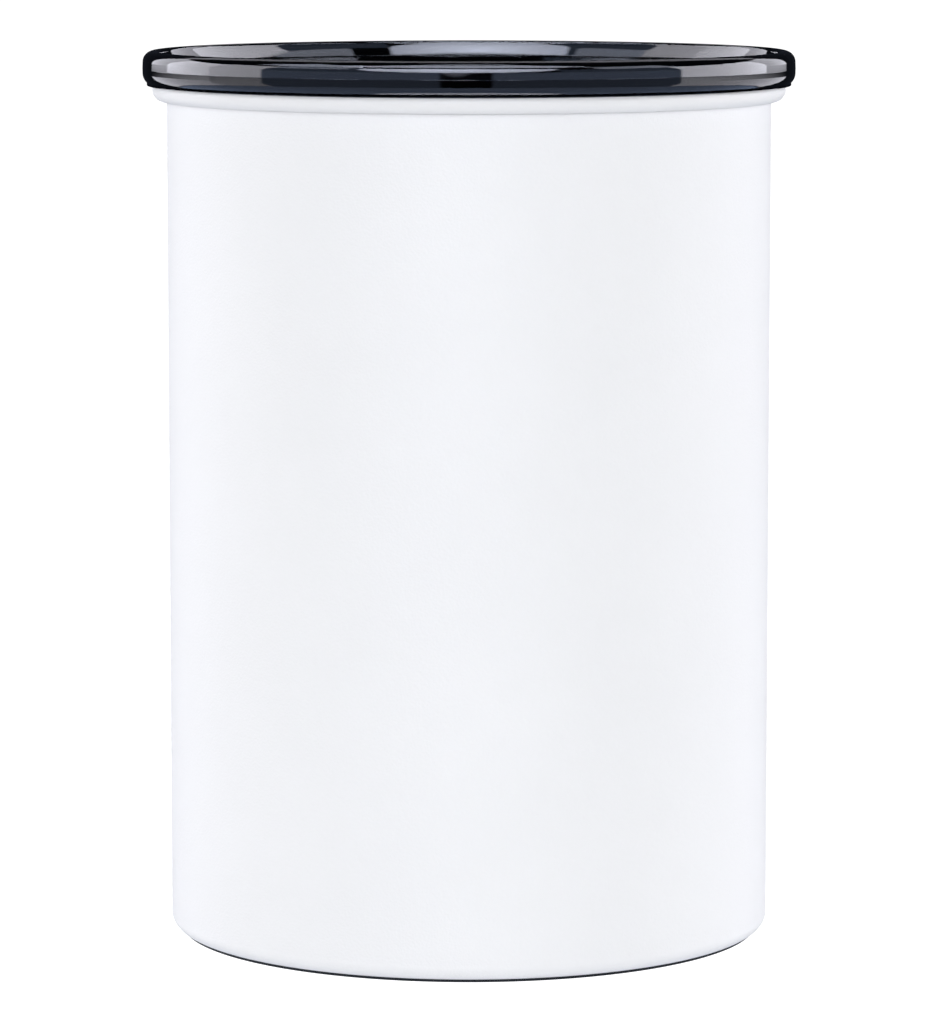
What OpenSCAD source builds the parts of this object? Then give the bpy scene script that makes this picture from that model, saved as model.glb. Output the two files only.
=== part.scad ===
// Coffee canister: a drawn steel can, a loose smoked outer lid, and an inner lid that slides down
// onto the coffee. Raising the inner lid's handle turns two cams that open its air valve.
// The origin is at the centre of the base, on the bench. Folded, the handle points along -Y.

/* [Canister] */
// Outside diameter of the straight wall
can_d = 120.6; // [105:0.1:140]
// Height from the bench to the top of the rolled rim
can_h = 171.4; // [168:0.1:220]
// Thickness of the drawn steel
sheet = 0.7; // [0.5:0.05:0.9]
// Radius of the round edge at the base
base_edge_r = 4; // [2.5:0.1:6]
// Width of the flat ring that it stands on
foot_w = 7; // [4:0.1:12]
// Height that the middle of the base is pressed up
base_rise = 1.6; // [1:0.1:3]
// Distance that the rolled rim stands out from the wall
rim_out = 2.85; // [2.5:0.05:3.4]
// Radius of the rolled rim's round side
rim_r = 2.5; // [2.2:0.05:2.8]
// Radius of the rolled rim's inner shoulder
shoulder_r = 1.3; // [1.1:0.05:1.6]

/* [Outer lid] */
// Gap between the lid's skirt and the rolled rim
skirt_gap = 0.25; // [0.15:0.05:0.8]
// Thickness of the skirt outside the rolled rim
skirt_wall = 1.7; // [1.3:0.05:2.4]
// Distance that the skirt hangs below the top of the rolled rim
skirt_drop = 1.25; // [0.8:0.05:2]
// Radius of the skirt's round lower edge
skirt_edge_r = 2.6; // [2:0.05:2.9]
// Thickness of the lid's floor
lid_floor = 2.3; // [1.8:0.1:3]
// Depth of the recess that a second canister stands in
recess_depth = 3.2; // [2.4:0.1:5]
// Thickness of the raised ring round the recess
ring_wall = 3.3; // [2.8:0.1:4.5]
// Radius of the raised ring's outer top edge
ring_edge_r = 2.2; // [1.5:0.05:2.3]
// Radius where the recess wall meets the lid's floor
recess_fillet_r = 1; // [0.5:0.1:1.6]
// Thickness of the plug that reaches into the can
plug_wall = 1.6; // [1.2:0.1:2.5]
// Length of the plug below the lid's floor
plug_h = 6; // [4:0.1:9]
// Gap between the plug and the can's wall
plug_gap = 0.4; // [0.25:0.05:1]

/* [Inner lid] */
// Height of the inner lid's underside above the bench, as stored
inner_lid_z = 108; // [60:0.5:109]
// Gap between the wiper's lips and the can's wall
lip_gap = 0.2; // [0.1:0.05:0.3]
// Distance that the wiper's lips stand out past the flanges
lip_out = 1.6; // [1:0.1:2.4]
// Thickness of the plate
plate_t = 2.4; // [1.8:0.1:3]
// Height of the rim round the plate
rim_h = 16; // [13:0.1:20]
// Thickness of that rim
rim_wall = 1.8; // [1.4:0.1:2.4]
// Depth of the channel that the wiper sits in
channel_depth = 2; // [1.5:0.1:3]
// Thickness of the flanges above and below the wiper
flange_t = 1.8; // [1.6:0.1:2.4]
// Thickness of the wiper's sleeve
sleeve_t = 1.2; // [0.8:0.05:1.4]
// Thickness of the wiper's lips
lip_t = 0.9; // [0.6:0.05:1.2]
// Number of lips on the wiper
lip_count = 3; // [2:1:3]
// Width of the clamp ring under the plate
retainer_w = 12; // [10:0.1:16]
// Number of screws that hold the clamp ring
screw_count = 6; // [4:1:8]
// Radius of the screws
screw_r = 1.2; // [1:0.05:1.4]
// Length of the screws under the head
screw_l = 7; // [5:0.1:8]
// Number of stiffening ribs on the plate
rib_count = 12; // [6:2:18]
// Height of the ribs
rib_h = 2.6; // [1.5:0.1:4]
// Thickness of the ribs
rib_t = 1.4; // [1:0.1:2]

/* [Valve] */
// Radius of the port through the plate
port_r = 6; // [4.5:0.1:6.5]
// Height of the raised seat round the port
seat_h = 1; // [0.6:0.1:1.6]
// Width of the raised seat
seat_w = 1.2; // [0.8:0.1:1.8]
// Thickness of the silicone seal
seal_t = 1.6; // [1:0.1:2.2]
// Distance that the seal reaches past the seat
seal_over = 1.4; // [0.8:0.1:1.8]
// Thickness of the valve's head
head_t = 1.6; // [1.2:0.1:2]
// Distance that the valve opens
valve_lift = 2.5; // [1.5:0.1:3]
// Radius of the valve's stem
stem_r = 4.6; // [4.2:0.05:5]
// Thickness of the cross bar that the cams lift
crossbar_t = 1.6; // [1.2:0.1:2.2]
// Radius of the pin that shows through the cap
pin_r = 2; // [1.6:0.05:2.2]
// Radius of the spring's wire
wire_r = 0.35; // [0.25:0.05:0.4]
// Number of turns in the spring
spring_turns = 5; // [4:1:6]
// Length of the spring with the valve shut
spring_h = 7; // [6:0.1:9]

/* [Hub and cap] */
// Inside radius of the hub
hub_in_r = 12.4; // [12:0.1:14]
// Wall of the hub
hub_wall = 2.6; // [2:0.1:3.2]
// Height of the hub's wall above the shaft's bore
hub_over = 2.6; // [2:0.1:3.4]
// Wall of the cap
cap_wall = 1.6; // [1.2:0.1:2]
// Number of slots in the cap that let the air out
vent_count = 12; // [6:1:16]
// Width of those slots
vent_w = 1.6; // [1:0.1:2]

/* [Handle] */
// Radius of the steel shaft
shaft_r = 2; // [1.6:0.05:2.2]
// Wall of the cams round the shaft
cam_wall = 1.2; // [1:0.1:1.6]
// Thickness of each cam
cam_t = 2.6; // [1.8:0.1:3]
// Reach of the handle from the shaft to its outer edge
handle_reach = 45; // [38:0.5:46]
// Width of the handle's grip
grip_w = 9; // [6:0.1:11]
// Width of the handle's arms
arm_w = 4; // [3:0.1:5]
// Thickness of the handle
handle_t = 5; // [4.2:0.1:6]
// Outer corner radius of the handle
handle_corner_r = 12; // [8:0.5:16]
// Running clearance round the shaft in the hub
bore_gap = 0.06; // [0.04:0.01:0.1]

/* [Hidden] */
$fn = 96;
eps = 0.01;
right_angle = 90;
arc_steps = 10;
seat_gap = 0.1;         // outer lid above the rolled rim
fit_gap = 0.05;         // pieces that push together
shut_gap = 0.05;        // shut seal above its seat, and cams below the cross bar
end_gap = 0.05;         // each end of the spring
side_gap = 0.5;         // handle beside the cap, and cams beside the stem
guide_gap = 0.3;        // parts that slide past each other
turn_gap = 0.4;         // parts that swing past each other

// Canister
can_r = can_d / 2;
bore_r = can_r - sheet;
foot_out_r = can_r - base_edge_r;
foot_in_r = foot_out_r - foot_w;
panel_r = foot_in_r - base_rise;
base_inner_dr = sheet * tan(right_angle / 4);
rim_x = can_r + rim_out - rim_r;
shoulder_x = bore_r + shoulder_r;
shoulder_dz = sqrt(pow(rim_r - shoulder_r, 2) - pow(shoulder_x - rim_x, 2));
shoulder_z = can_h - shoulder_r;
rim_z = shoulder_z - shoulder_dz;
rim_join_a = atan2(shoulder_dz, shoulder_x - rim_x);
curl_slit = 0.3;
curl_end_a = -acos((can_r + curl_slit - rim_x) / rim_r);

// Outer lid
lid_r = can_r + rim_out + skirt_gap + skirt_wall;
lid_under_z = can_h + seat_gap;
lid_floor_z = lid_under_z + lid_floor;
lid_top_z = lid_floor_z + recess_depth;
skirt_low_z = can_h - skirt_drop;
recess_r = lid_r - ring_wall;
ring_lip_r = (ring_wall - ring_edge_r) * 0.9;
plug_out_r = bore_r - plug_gap;
plug_in_r = plug_out_r - plug_wall;
plug_chamfer = 0.6;
gate_r = 2.2;
gate_h = 0.4;

// Inner lid, measured up from its own underside
lip_r = bore_r - lip_gap;
flange_r = lip_r - lip_out;
channel_r = flange_r - channel_depth;
rim_in_r = channel_r - rim_wall;
retainer_in_r = flange_r - retainer_w;
plate_z = flange_t;
plate_top = plate_z + plate_t;
channel_top = rim_h - flange_t;
screw_ring_r = (retainer_in_r + rim_in_r) / 2;
screw_head_r = 1.8 * screw_r;
screw_head_t = 0.6 * flange_t;
screw_slot_w = 0.6;
screw_tip_z = screw_head_t + screw_l;
screw_hole_z = screw_tip_z + turn_gap;
boss_r = screw_r + 1.6;
boss_top = screw_hole_z + 1.2;

// Valve, measured from the same underside
seat_z = plate_top + seat_h;
seat_out_r = port_r + seat_w;
head_r = seat_out_r + seal_over;
head_z = seat_z + seal_t;
stem_z = head_z + head_t;
cam_base = shaft_r + cam_wall;
cam_rate = valve_lift / (PI / 2);
cam_tip = cam_base + valve_lift;
axis_z = stem_z + valve_lift + turn_gap + cam_base;
crossbar_z = axis_z + cam_base + shut_gap;
crossbar_top = crossbar_z + crossbar_t;
cam_in_x = stem_r + side_gap;
cam_out_x = cam_in_x + cam_t;
crossbar_half = cam_out_x + turn_gap;
crossbar_w = 2 * stem_r;
window_half = shaft_r + turn_gap;
guide_r = port_r - guide_gap;
guide_neck_r = 2.4;
guide_vane_t = 1.4;

// Hub, cap and spring
hub_r = hub_in_r + hub_wall;
hub_top = axis_z + shaft_r + hub_over;
cap_in_r = hub_r + fit_gap;
cap_r = cap_in_r + cap_wall;
cap_under_z = max(crossbar_top + valve_lift + turn_gap, hub_top + fit_gap);
cap_top = cap_under_z + cap_wall;
cap_skirt_z = hub_top - hub_over / 2;
spring_r = pin_r + guide_gap + 2 * wire_r;
turret_in_r = spring_r + wire_r + guide_gap;
turret_r = turret_in_r + cap_wall;
spring_z = crossbar_top + end_gap;
turret_under_z = max(spring_z + spring_h + end_gap, cap_top);
turret_top = turret_under_z + cap_wall;
vent_in_r = turret_r + 1;
vent_out_r = hub_in_r - 0.4;
wire_sides = 10;
turn_steps = 20;

// Handle
arm_in_x = cap_r + side_gap;
arm_out_x = arm_in_x + arm_w;
eye_r = handle_t / 2 + 1.6;
shaft_half = arm_out_x - arm_w / 4;
flat_depth = 0.25 * shaft_r;
inner_corner_r = max(handle_corner_r - arm_w, 2);
rest_x = 10;
rest_post_r = 1.6;
rest_y = -(handle_reach - grip_w / 2);
rest_top = axis_z - handle_t / 2 - turn_gap / 4;

// Points on an arc, from one angle to another
function arc(x, y, r, from, to) =
    [for (i = [0:arc_steps]) let (a = from + (to - from) * i / arc_steps) [x + r * cos(a), y + r * sin(a)]];

module tube(out_r, in_r, z0, z1) {
    translate([0, 0, z0]) difference() {
        cylinder(r = out_r, h = z1 - z0);
        translate([0, 0, -1]) cylinder(r = in_r, h = z1 - z0 + 2);
    }
}

module disc(r, z0, z1) {
    translate([0, 0, z0]) cylinder(r = r, h = z1 - z0);
}

module bar_x(r, x0, x1, z) {
    translate([x0, 0, z]) rotate([0, right_angle, 0]) cylinder(r = r, h = x1 - x0);
}

module around(count, ring_r) {
    for (i = [0:count - 1]) rotate([0, 0, (i + 0.5) * 360 / count]) translate([ring_r, 0, 0]) children();
}

// One sheet of steel: pressed-up base, round edge, straight wall and a rim rolled outwards
module canister_shell() {
    color("whitesmoke") rotate_extrude() polygon(concat(
        [[0, base_rise], [panel_r, base_rise], [foot_in_r, 0]],
        arc(foot_out_r, base_edge_r, base_edge_r, -right_angle, 0),
        arc(shoulder_x, shoulder_z, shoulder_r - sheet, 2 * right_angle, rim_join_a),
        arc(rim_x, rim_z, rim_r - sheet, rim_join_a, curl_end_a),
        arc(rim_x, rim_z, rim_r, curl_end_a, rim_join_a),
        arc(shoulder_x, shoulder_z, shoulder_r, rim_join_a, 2 * right_angle),
        arc(foot_out_r, base_edge_r, base_edge_r - sheet, 0, -right_angle),
        [[foot_in_r + base_inner_dr, sheet], [panel_r + base_inner_dr, base_rise + sheet],
         [0, base_rise + sheet]]));
}

// A moulded lid: floor, raised stacking ring, skirt over the rolled rim and plug inside the can
module outer_lid() {
    color("dimgray") rotate_extrude() difference() {
        polygon(concat(
            [[0, lid_under_z - gate_h], [gate_r, lid_under_z - gate_h], [gate_r, lid_under_z],
             [plug_in_r, lid_under_z], [plug_in_r + plug_chamfer / 2, lid_under_z - plug_h],
             [plug_out_r - plug_chamfer, lid_under_z - plug_h],
             [plug_out_r, lid_under_z - plug_h + plug_chamfer], [plug_out_r, lid_under_z],
             [rim_x, lid_under_z], [rim_x, skirt_low_z]],
            arc(lid_r - skirt_edge_r, skirt_low_z + skirt_edge_r, skirt_edge_r, -right_angle, 0),
            arc(lid_r - ring_edge_r, lid_top_z - ring_edge_r, ring_edge_r, 0, right_angle),
            arc(recess_r + ring_lip_r, lid_top_z - ring_lip_r, ring_lip_r, right_angle, 2 * right_angle),
            arc(recess_r - recess_fillet_r, lid_floor_z + recess_fillet_r, recess_fillet_r,
                0, -right_angle),
            [[0, lid_floor_z]]));
        translate([rim_x, rim_z]) circle(r = rim_r + skirt_gap);
    }
}

// Everything on the inner lid is drawn from its underside and raised to where it is stored
module stored() {
    translate([0, 0, inner_lid_z]) children();
}

module hub_wall_ring() {
    difference() {
        tube(hub_r, hub_in_r, plate_top - eps, hub_top);
        bar_x(shaft_r + bore_gap, -hub_r - 1, hub_r + 1, axis_z);
    }
}

module ribs() {
    for (i = [0:rib_count - 1]) rotate([0, 0, i * 360 / rib_count])
        translate([hub_r - eps, -rib_t / 2, plate_top - eps])
            cube([rim_in_r - hub_r + 2 * eps, rib_t, rib_h + eps]);
}

module rest_posts() {
    for (side = [-1, 1]) translate([side * rest_x, rest_y, plate_top - eps])
        cylinder(r = rest_post_r, h = rest_top - plate_top + eps);
}

// The moulded plate with its rim, upper flange, valve seat, hub, ribs and screw bosses
module inner_lid_plate() {
    color("gray") stored() difference() {
        union() {
            disc(channel_r, plate_z, plate_top);
            tube(channel_r, rim_in_r, plate_z, rim_h);
            tube(flange_r, rim_in_r, channel_top, rim_h);
            tube(seat_out_r, port_r, plate_top - eps, seat_z);
            hub_wall_ring();
            ribs();
            rest_posts();
            around(screw_count, screw_ring_r) disc(boss_r, plate_top - eps, boss_top);
        }
        disc(port_r, plate_z - 1, seat_z + 1);
        around(screw_count, screw_ring_r) disc(screw_r + fit_gap, plate_z - 1, screw_hole_z);
    }
}

// Silicone sleeve in the channel, with thin lips that slope up and wipe the wall
module wiper_gasket() {
    tip_a = 30;
    sleeve_in = channel_r + fit_gap;
    sleeve_out = channel_r + sleeve_t;
    z0 = flange_t + fit_gap;
    z1 = channel_top - fit_gap;
    pitch = (z1 - z0 - 2 * lip_t - lip_out) / (lip_count - 1);
    lip_root = 1.6 * lip_t;
    // Down the outside from the top lip to the bottom one, then up the inside
    color("darkslategray") stored() rotate_extrude() polygon(concat(
        [[sleeve_in, z0], [sleeve_in, z1], [sleeve_out, z1]],
        [for (i = [lip_count - 1:-1:0]) each concat(
            [[sleeve_out, z0 + i * pitch + lip_root]],
            arc(lip_r - lip_t / 2, z0 + i * pitch + lip_out + lip_t, lip_t / 2,
                2 * right_angle - tip_a, -tip_a),
            [[sleeve_out, z0 + i * pitch]])]));
}

// Flat ring screwed up under the plate: it is the flange below the wiper
module gasket_retainer() {
    color("gray") stored() difference() {
        tube(flange_r, retainer_in_r, 0, flange_t);
        around(screw_count, screw_ring_r) {
            disc(screw_r + fit_gap, -1, flange_t + 1);
            disc(screw_head_r + fit_gap, -1, screw_head_t);
        }
    }
}

module retainer_screws() {
    color("silver") stored() around(screw_count, screw_ring_r) difference() {
        union() {
            disc(screw_head_r, 0, screw_head_t);
            disc(screw_r, 0, screw_tip_z);
        }
        for (turn = [0, right_angle]) rotate([0, 0, turn])
            translate([-screw_head_r * 0.6, -screw_slot_w / 2, -1])
                cube([screw_head_r * 1.2, screw_slot_w, 1 + screw_head_t / 2]);
    }
}

// Guide vanes, neck, head, windowed stem, cross bar and pin, moulded as one
module valve_stem() {
    color("gainsboro") stored() difference() {
        union() {
            intersection() {
                disc(guide_r, plate_z, seat_z);
                for (turn = [0, right_angle]) rotate([0, 0, turn])
                    translate([-guide_r, -guide_vane_t / 2, plate_z])
                        cube([2 * guide_r, guide_vane_t, seat_z - plate_z]);
            }
            disc(guide_neck_r, plate_z, head_z + eps);
            disc(head_r, head_z, stem_z);
            disc(stem_r, stem_z - eps, crossbar_z + eps);
            translate([-crossbar_half, -crossbar_w / 2, crossbar_z])
                cube([2 * crossbar_half, crossbar_w, crossbar_t]);
            disc(pin_r, crossbar_top - eps, turret_top);
        }
        translate([-stem_r - 1, -window_half, stem_z + turn_gap / 2])
            cube([2 * stem_r + 2, 2 * window_half, axis_z + window_half - stem_z - turn_gap / 2]);
    }
}

module valve_seal() {
    color("darkslategray") stored() tube(head_r, guide_neck_r + fit_gap, seat_z + shut_gap, head_z);
}

// Compression spring round the pin: a round wire swept along a helix
module valve_spring() {
    rings = spring_turns * turn_steps;
    rise = spring_h - 2 * wire_r;
    points = [for (i = [0:rings], j = [0:wire_sides - 1])
        let (turn = i * 360 / turn_steps, a = j * 360 / wire_sides, r = spring_r + wire_r * cos(a))
        [r * cos(turn), r * sin(turn), wire_r + rise * i / rings + wire_r * sin(a)]];
    sides = [for (i = [0:rings - 1], j = [0:wire_sides - 1])
        let (k = (j + 1) % wire_sides)
        [i * wire_sides + j, i * wire_sides + k, (i + 1) * wire_sides + k, (i + 1) * wire_sides + j]];
    ends = [[for (j = [wire_sides - 1:-1:0]) j], [for (j = [0:wire_sides - 1]) rings * wire_sides + j]];
    color("silver") stored() translate([0, 0, spring_z]) polyhedron(points, concat(sides, ends));
}

// Cap pushed over the hub, with a turret for the spring, a hole for the pin and air slots
module valve_cap() {
    color("gray") stored() difference() {
        union() {
            disc(cap_r, cap_skirt_z, cap_top);
            disc(turret_r, cap_top - eps, turret_top);
        }
        disc(cap_in_r, cap_skirt_z - 1, hub_top + fit_gap);
        disc(hub_in_r, hub_top, cap_under_z);
        disc(turret_in_r, cap_under_z - 1, turret_under_z);
        disc(pin_r + guide_gap, turret_under_z - 1, turret_top + 1);
        for (i = [0:vent_count - 1]) rotate([0, 0, i * 360 / vent_count])
            translate([vent_in_r, -vent_w / 2, cap_under_z - 1])
                cube([vent_out_r - vent_in_r, vent_w, cap_wall + 2]);
    }
}

// The shaft's section: round, with a flat on top that keys the cams and the handle to it
module shaft_section(gap) {
    difference() {
        circle(r = shaft_r + gap);
        translate([-shaft_r - 1, shaft_r - flat_depth + gap]) square([2 * shaft_r + 2, shaft_r]);
    }
}

module along_x(x0, x1) {
    translate([x0, 0, 0]) rotate([right_angle, 0, right_angle]) linear_extrude(x1 - x0) children();
}

// Steel shaft: keyed at its ends and under the cams, round where the hub carries it
module hinge_shaft() {
    color("silver") stored() translate([0, 0, axis_z]) difference() {
        bar_x(shaft_r, -shaft_half, shaft_half, 0);
        for (zone = [[-shaft_half - 1, -hub_r], [-hub_in_r, hub_in_r], [hub_r, shaft_half + 1]])
            translate([zone[0], -shaft_r - 1, shaft_r - flat_depth])
                cube([zone[1] - zone[0], 2 * shaft_r + 2, shaft_r]);
    }
}

// Outline that lifts a flat bar in step with its own turning: an involute, then the base circle
module cam_outline() {
    difference() {
        polygon(concat(
            [[0, cam_base]],
            [for (i = [0:arc_steps]) let (a = right_angle * i / arc_steps,
                                         h = cam_base + valve_lift * i / arc_steps)
                [-h * sin(a) - cam_rate * cos(a), h * cos(a) - cam_rate * sin(a)]],
            arc(0, 0, cam_base, -right_angle, right_angle)));
        shaft_section(fit_gap);
    }
}

module valve_cams() {
    color("gainsboro") stored() translate([0, 0, axis_z]) for (x0 = [-cam_out_x, cam_in_x])
        along_x(x0, x0 + cam_t) cam_outline();
}

// A bail: two arms from the shaft to a grip, as one flat moulding
module handle_outline() {
    inner_y = grip_w - handle_reach;
    difference() {
        polygon(concat(
            [[arm_out_x, 0], [-arm_out_x, 0]],
            arc(handle_corner_r - arm_out_x, handle_corner_r - handle_reach, handle_corner_r,
                2 * right_angle, 3 * right_angle),
            arc(arm_out_x - handle_corner_r, handle_corner_r - handle_reach, handle_corner_r,
                -right_angle, 0)));
        polygon(concat(
            [[arm_in_x, 1], [-arm_in_x, 1]],
            arc(inner_corner_r - arm_in_x, inner_corner_r + inner_y, inner_corner_r,
                2 * right_angle, 3 * right_angle),
            arc(arm_in_x - inner_corner_r, inner_corner_r + inner_y, inner_corner_r,
                -right_angle, 0)));
    }
}

module lift_handle() {
    color("gray") stored() translate([0, 0, axis_z]) difference() {
        union() {
            translate([0, 0, -handle_t / 2]) linear_extrude(handle_t) handle_outline();
            bar_x(eye_r, arm_in_x, arm_out_x, 0);
            bar_x(eye_r, -arm_out_x, -arm_in_x, 0);
        }
        along_x(-shaft_half - fit_gap, shaft_half + fit_gap) shaft_section(fit_gap);
    }
}

canister_shell();
outer_lid();
inner_lid_plate();
wiper_gasket();
gasket_retainer();
retainer_screws();
valve_stem();
valve_seal();
valve_spring();
valve_cap();
hinge_shaft();
valve_cams();
lift_handle();
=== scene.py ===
# %% [markdown]
# # Coffee canister with a valve
# The object is a drawn steel can with a powder-coated outside, a loose lid moulded in smoked clear plastic,
# and an inner lid that slides down onto the coffee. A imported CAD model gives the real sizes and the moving
# bodies. This script dresses it: each piece that shows is modelled again with rounder, finer surfaces, and
# every surface gets a finish built from nodes. Sizes are in millimetres until they reach Blender.

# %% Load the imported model
import math

import bmesh
import bpy
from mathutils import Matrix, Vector


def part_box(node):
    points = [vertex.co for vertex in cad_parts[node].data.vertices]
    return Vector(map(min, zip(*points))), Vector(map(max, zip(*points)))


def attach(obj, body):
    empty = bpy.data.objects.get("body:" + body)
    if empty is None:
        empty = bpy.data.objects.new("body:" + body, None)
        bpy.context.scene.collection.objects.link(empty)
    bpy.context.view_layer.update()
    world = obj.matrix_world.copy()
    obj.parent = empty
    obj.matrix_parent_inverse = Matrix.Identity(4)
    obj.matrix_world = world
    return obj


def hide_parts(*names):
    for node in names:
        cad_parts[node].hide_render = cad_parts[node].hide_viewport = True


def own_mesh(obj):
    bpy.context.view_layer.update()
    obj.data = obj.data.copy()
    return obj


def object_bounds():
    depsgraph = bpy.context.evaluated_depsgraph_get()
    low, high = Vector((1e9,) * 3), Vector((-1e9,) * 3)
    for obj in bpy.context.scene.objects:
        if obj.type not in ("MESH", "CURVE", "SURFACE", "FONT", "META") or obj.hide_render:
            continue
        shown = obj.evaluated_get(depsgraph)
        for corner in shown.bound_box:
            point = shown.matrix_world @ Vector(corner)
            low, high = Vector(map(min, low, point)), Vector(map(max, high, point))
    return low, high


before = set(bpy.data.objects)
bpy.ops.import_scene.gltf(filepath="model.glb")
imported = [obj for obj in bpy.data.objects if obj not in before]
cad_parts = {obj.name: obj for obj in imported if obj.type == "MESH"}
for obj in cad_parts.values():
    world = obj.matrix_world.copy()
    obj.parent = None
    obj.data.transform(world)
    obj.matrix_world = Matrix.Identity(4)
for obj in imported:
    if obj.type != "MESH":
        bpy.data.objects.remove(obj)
cad_low, cad_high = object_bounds()
MM = 0.001
print("CAD box in mm:", [round(v / MM, 1) for v in (*cad_low, *cad_high)])

# %% [markdown]
# ## The camera
# The photograph was taken with a long lens, slightly above the lid. The lens and the place come from fitting
# the outline of the can, its rolled rim and its lid to the photograph. The picture is 1024 pixels high, and
# the fitted focal length is 5204 of them. A long lens keeps the straight wall nearly parallel.

# %% Camera at the photograph's viewpoint
PHOTO_HEIGHT_PX = 1024
FOCAL_PX = 5204
SENSOR_MM = 36
CAMERA_SIDE, CAMERA_BACK, CAMERA_UP = -0.7, 1041.8, 211.6
CAMERA_PITCH = 6.974

camera = bpy.data.objects.new("camera", bpy.data.cameras.new("camera"))
bpy.context.scene.collection.objects.link(camera)
camera.data.sensor_fit = "VERTICAL"
camera.data.sensor_height = SENSOR_MM
camera.data.lens = FOCAL_PX / PHOTO_HEIGHT_PX * SENSOR_MM
camera.location = (CAMERA_SIDE * MM, -CAMERA_BACK * MM, CAMERA_UP * MM)
camera.rotation_euler = (math.radians(90 - CAMERA_PITCH), 0, 0)
bpy.context.scene.camera = camera
print("lens in mm:", round(camera.data.lens, 1))

# %% [markdown]
# ## Two helpers for materials
# A material is a small tree of nodes. One helper adds a node, sets its options and feeds its inputs, either
# with a value or from another node. Colours are written the way a paint card gives them, as sRGB hex, and
# Blender mixes light in linear values, so one function converts them. A Mix node counts its sockets in a way
# that is worth noting: 4 and 5 mix vectors, with output 1, and 6 and 7 mix colours, with output 2.

# %% Material helpers
def linear(hex_colour):
    """sRGB hex, such as "8090A0", as Blender's linear red, green, blue and alpha."""
    parts = [int(hex_colour[i:i + 2], 16) / 255 for i in (0, 2, 4)]
    return [c / 12.92 if c <= 0.04045 else ((c + 0.055) / 1.055) ** 2.4 for c in parts] + [1]


def add(tree, kind, inputs=None, **options):
    """Add one node. inputs maps an input's name or number to a value or to another node's output."""
    node = tree.nodes.new(kind)
    for name, value in options.items():
        setattr(node, name, value)
    for name, value in (inputs or {}).items():
        if isinstance(value, bpy.types.NodeSocket):
            tree.links.new(value, node.inputs[name])
        else:
            node.inputs[name].default_value = value
    return node


def new_material(name):
    """An empty material and its tree."""
    made = bpy.data.materials.new(name)
    made.use_nodes = True
    made.node_tree.nodes.clear()
    return made, made.node_tree


# %% [markdown]
# ## The studio
# The ground of the photograph is pure white, and its light is soft. The glossy lid tells more, because it
# mirrors the room: an oval softbox in front, a wide one overhead, one at each side, and dark gaps between.
# What a shiny surface mirrors depends on direction alone, so the softboxes are painted into the world, by
# azimuth (0 towards the camera, positive to the right) and elevation, in degrees. Only the camera sees
# plain white behind the piece.

# %% The softboxes that shiny surfaces mirror: left, right, low, high, strength, colour
COOL, WHITE, ROOM = "E3EAFF", "F4F4FF", "98A8C8"
MIRRORED = (
    (-60, 56, 50, 80, 5.2, COOL),         # overhead, its middle
    (-100, -48, 42, 62, 3.6, COOL),       # overhead, its left end
    (50, 86, 28, 46, 2.6, COOL),          # overhead, its right end
    (-181, 181, 82, 95, 2.0, COOL),       # straight above, seen only from high up
    (-77, -46, 27, 38, 2.0, COOL),        # between the front and the left
    (-149, -103, -0.9, 30, 2.4, WHITE),   # left
    (-132, -103, -0.9, 30, 2.8, WHITE),   # left, its brighter part
    (-103, -77, -0.9, 34, 4.0, WHITE),    # left, further away
    (79, 149, -0.9, 28, 2.4, WHITE),      # right
    (79, 128, -0.9, 28, 3.2, WHITE),      # right, its brighter part
    (-149, -103, -26, -3.9, 2.0, WHITE),  # left, mirrored by the table
    (-103, -77, -26, -3.9, 1.3, WHITE),
    (79, 149, -26, -3.9, 2.0, WHITE),     # right, mirrored by the table
    (-77, -10, -0.9, 5, 1.6, ROOM),       # the room, left and right of the camera
    (8, 79, -0.9, 5, 1.6, ROOM),
    (-77, -33, 5, 42, 0.9, ROOM),
    (32, 79, 5, 28, 0.9, ROOM),
    (-77, -10, -26, -3.9, 0.65, ROOM),    # the far side of the table
    (8, 79, -26, -3.9, 0.65, ROOM),
    (-10, 8, -0.9, 2, 0.15, ROOM),
    (-181, 181, -95, -27, 1.5, ROOM),     # the table
    (-181, 181, -95, -73, 2.4, WHITE),    # the table, close to the can
    (149, 181, 28, 60, 0.8, WHITE),       # a weak light from behind
    (-181, -149, 28, 60, 0.8, WHITE),
)
EDGE = 1.0                                # the half width of a softbox's soft edge
FRONT = (-4.5, 36, 38.0, 33.0, COOL)      # in front, half an oval: middle across, top, half width, height
FRONT_MIDDLE, FRONT_RIM = 12.5, 6.5       # its strength in the middle of its top and at its rim
FRONT_EDGE, FRONT_ABOVE = 0.03, 2         # its soft rim, as a share of its size, and its flat top's rise
DARK_ROOM = (0.012, 0.014, 0.02)
world = bpy.data.worlds.new("studio")
bpy.context.scene.world = world
world.use_nodes = True
sky = world.node_tree
sky.nodes.clear()

direction = add(sky, "ShaderNodeSeparateXYZ", {0: add(sky, "ShaderNodeTexCoord").outputs["Generated"]})
to_camera = add(sky, "ShaderNodeMath", {0: direction.outputs["Y"], 1: -1.0}, operation="MULTIPLY")
azimuth = add(sky, "ShaderNodeMath", {
    0: direction.outputs["X"], 1: to_camera.outputs[0]}, operation="ARCTAN2")
elevation = add(sky, "ShaderNodeMath", {0: direction.outputs["Z"]}, operation="ARCSINE")


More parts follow.
